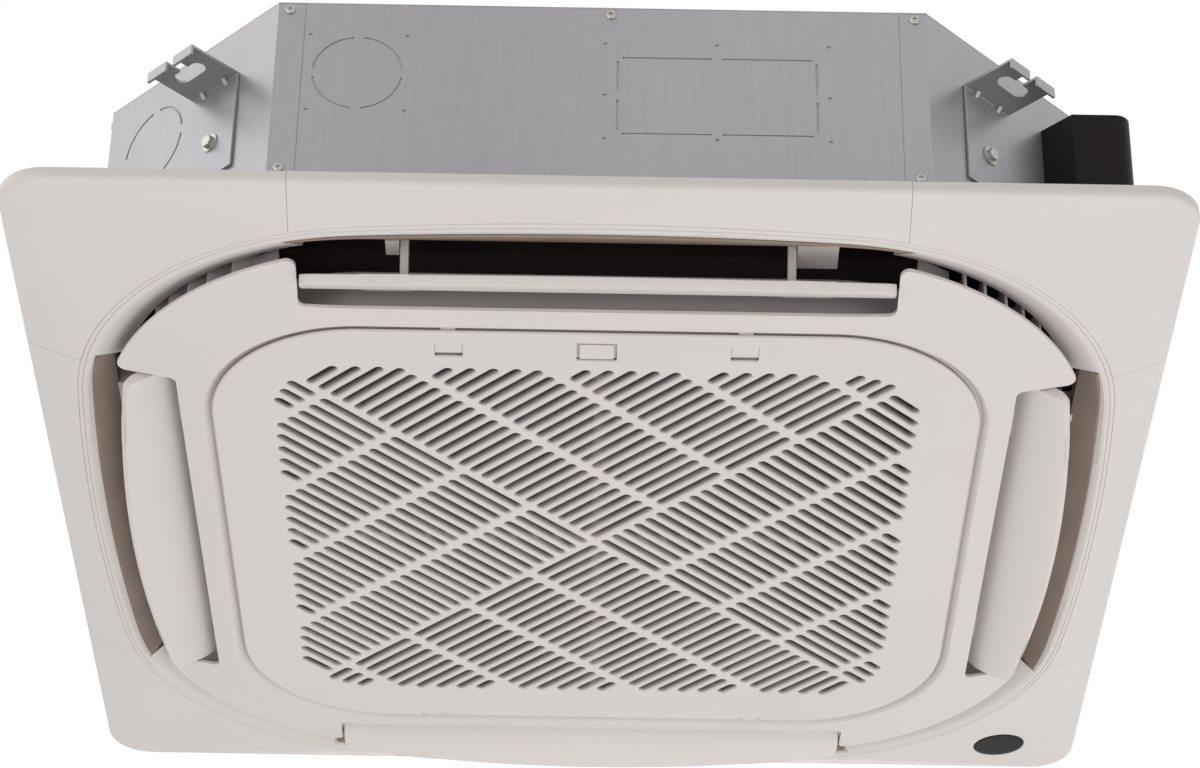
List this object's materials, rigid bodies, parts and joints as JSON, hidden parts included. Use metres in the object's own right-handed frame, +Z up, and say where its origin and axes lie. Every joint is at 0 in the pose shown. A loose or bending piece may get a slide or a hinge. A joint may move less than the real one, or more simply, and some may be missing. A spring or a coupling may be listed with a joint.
{
  "type": "ceiling cassette air conditioner",
  "caption": "Four-way ceiling cassette air conditioner: square panel with slotted drop-down intake grille and swinging louvers under a galvanised casing with fan, coil and condensate pump.",
  "frame": {"origin": "centre of the unit on the ceiling plane, at the top of the panel's rim", "axes": "+X right and +Y away from the side with the duct knock-outs, +Z up into the ceiling"},
  "size_m": [0.95, 0.95, 0.2725],
  "materials": {
    "panel_plastic": "satin moulded",
    "liner_felt": "napped lining",
    "galvanised": "galvanised sheet",
    "zinc_fastener": "zinc plated",
    "black_plastic": "fine texture",
    "white_foam": "expanded foam",
    "dark_foam": "soft foam",
    "fin_aluminium": "fin stack",
    "copper_pipe": "drawn tube",
    "brass_pipe": "turned",
    "motor_metal": "satin",
    "steel": "turned",
    "fan_plastic": "moulded",
    "net": "woven net",
    "board": "coated board",
    "window_dark": "smoked"
  },
  "bodies": {
    "casing": {"panel_frame": "panel_plastic", "corner_cover_fr": "panel_plastic", "corner_cover_br": "panel_plastic", "corner_cover_bl": "panel_plastic", "corner_cover_fl": "panel_plastic", "inner_panel": "panel_plastic", "louver_bearings": "panel_plastic", "louver_motor_front": "panel_plastic", "louver_motor_right": "panel_plastic", "louver_motor_back": "panel_plastic", "louver_motor_left": "panel_plastic", "outlet_liners": "liner_felt", "top_plate": "galvanised", "front_plate": "galvanised", "right_plate": "galvanised", "back_plate": "galvanised", "left_plate": "galvanised", "corner_plate_fr": "galvanised", "corner_plate_br": "galvanised", "corner_plate_bl": "galvanised", "corner_plate_fl": "galvanised", "hanger_fl": "galvanised", "hanger_fr": "galvanised", "hanger_br": "galvanised", "hanger_bl": "galvanised", "motor_mount": "galvanised", "control_lid": "galvanised", "hanger_bolts": "zinc_fastener", "casing_screws": "zinc_fastener", "pipe_cover": "black_plastic", "drain_pump": "black_plastic", "terminal_block": "black_plastic", "casing_insulation": "white_foam", "drain_spigot": "white_foam", "drain_pan": "dark_foam", "panel_seals": "dark_foam", "evaporator_coil": "fin_aluminium", "coil_headers": "copper_pipe", "gas_connection": "brass_pipe", "liquid_connection": "brass_pipe", "fan_motor": "motor_metal", "fan_inlet_ring": "fan_plastic", "control_box": "fan_plastic", "circuit_board": "board", "receiver_window": "window_dark"},
    "fan": {"turbo_fan": "fan_plastic", "fan_shaft": "steel", "fan_nut": "zinc_fastener"},
    "front_louver": {"louver_front": "panel_plastic"},
    "right_louver": {"louver_right": "panel_plastic"},
    "back_louver": {"louver_back": "panel_plastic"},
    "left_louver": {"louver_left": "panel_plastic"},
    "grille": {"intake_grille": "panel_plastic", "filter_frame": "panel_plastic", "filter_net": "net", "grille_screw_cap": "panel_plastic"},
    "left_latch": {"grille_latch_left": "panel_plastic"},
    "right_latch": {"grille_latch_right": "panel_plastic"},
    "float": {"level_float": "white_foam"},
    "impeller": {"pump_impeller": "black_plastic"}
  },
  "joints": [
    {"name": "fan_spin", "type": "hinge", "parent": "casing", "child": "fan", "pos_m": [0, 0, 0.14], "axis": [0, 0, 1], "continuous": true},
    {"name": "front_louver_swing", "type": "hinge", "parent": "casing", "child": "front_louver", "pos_m": [0, -0.398, 0.002], "axis": [1, 0, 0], "range_deg": [-30, 10]},
    {"name": "right_louver_swing", "type": "hinge", "parent": "casing", "child": "right_louver", "pos_m": [0.398, 0, 0.002], "axis": [0, 1, 0], "range_deg": [-30, 10]},
    {"name": "back_louver_swing", "type": "hinge", "parent": "casing", "child": "back_louver", "pos_m": [0, 0.398, 0.002], "axis": [-1, 0, 0], "range_deg": [-30, 10]},
    {"name": "left_louver_swing", "type": "hinge", "parent": "casing", "child": "left_louver", "pos_m": [-0.398, 0, 0.002], "axis": [0, -1, 0], "range_deg": [-30, 10]},
    {"name": "grille_hinge", "type": "hinge", "parent": "casing", "child": "grille", "pos_m": [0, 0.3205, -0.0398], "axis": [1, 0, 0], "range_deg": [0, 45]},
    {"name": "left_latch_slide", "type": "slide", "parent": "grille", "child": "left_latch", "axis": [0, 1, 0], "range_m": [0, 0.006]},
    {"name": "right_latch_slide", "type": "slide", "parent": "grille", "child": "right_latch", "axis": [0, 1, 0], "range_m": [0, 0.006]},
    {"name": "float_slide", "type": "slide", "parent": "casing", "child": "float", "axis": [0, 0, 1], "range_m": [0, 0.02]},
    {"name": "impeller_spin", "type": "hinge", "parent": "casing", "child": "impeller", "pos_m": [0.305, -0.305, 0.07], "axis": [0, 0, 1], "continuous": true}
  ]
}
